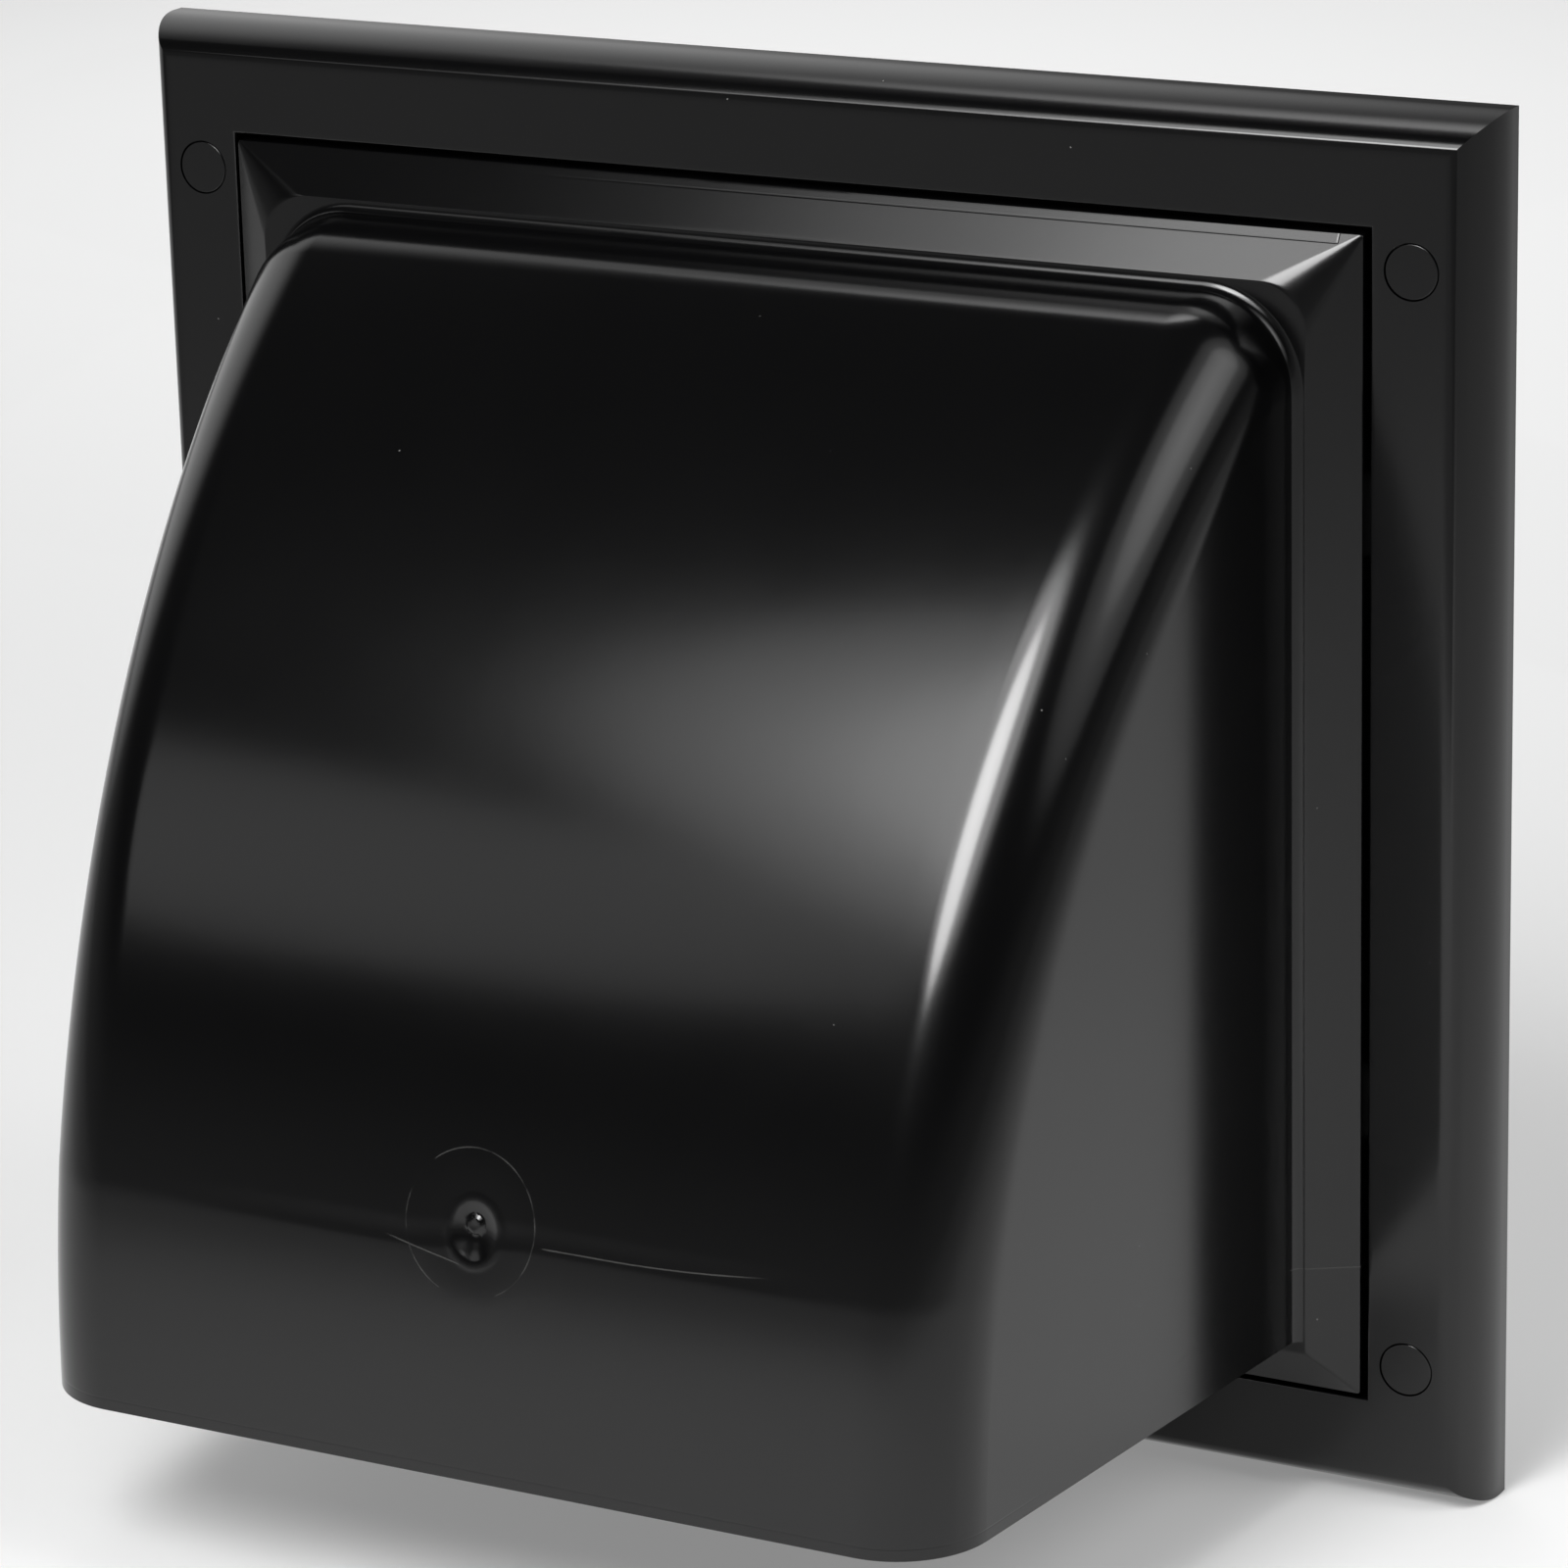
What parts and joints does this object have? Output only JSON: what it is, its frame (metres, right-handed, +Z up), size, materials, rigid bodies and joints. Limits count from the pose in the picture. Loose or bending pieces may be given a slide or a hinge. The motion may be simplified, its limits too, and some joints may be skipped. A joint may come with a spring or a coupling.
{
  "type": "exhaust hood vent",
  "caption": "Square wall vent with a curved, open-bottomed hood in a trim frame, a round duct collar behind and a hinged back-draught flap inside.",
  "frame": {"origin": "where the duct's axis meets the wall plane, at the centre of the fixing holes", "axes": "+Z up the wall, +X along the wall to the right as seen from outside, +Y into the wall"},
  "size_m": [0.19, 0.1435, 0.1784],
  "materials": {
    "shell_black": "satin gloss",
    "base_black": "fine matt",
    "seal_foam": "closed-cell foam",
    "pin_steel": "drawn"
  },
  "bodies": {
    "vent": {"trim_frame": "shell_black", "screw_plugs": "shell_black", "hood": "shell_black", "mounting_base": "base_black", "damper_pin": "pin_steel"},
    "damper": {"damper_flap": "base_black", "damper_seal": "seal_foam"}
  },
  "joints": [
    {"name": "damper_hinge", "type": "hinge", "parent": "vent", "child": "damper", "pos_m": [0, -0.0153, 0.05379], "axis": [-1, 0, 0], "range_deg": [0, 40]}
  ]
}
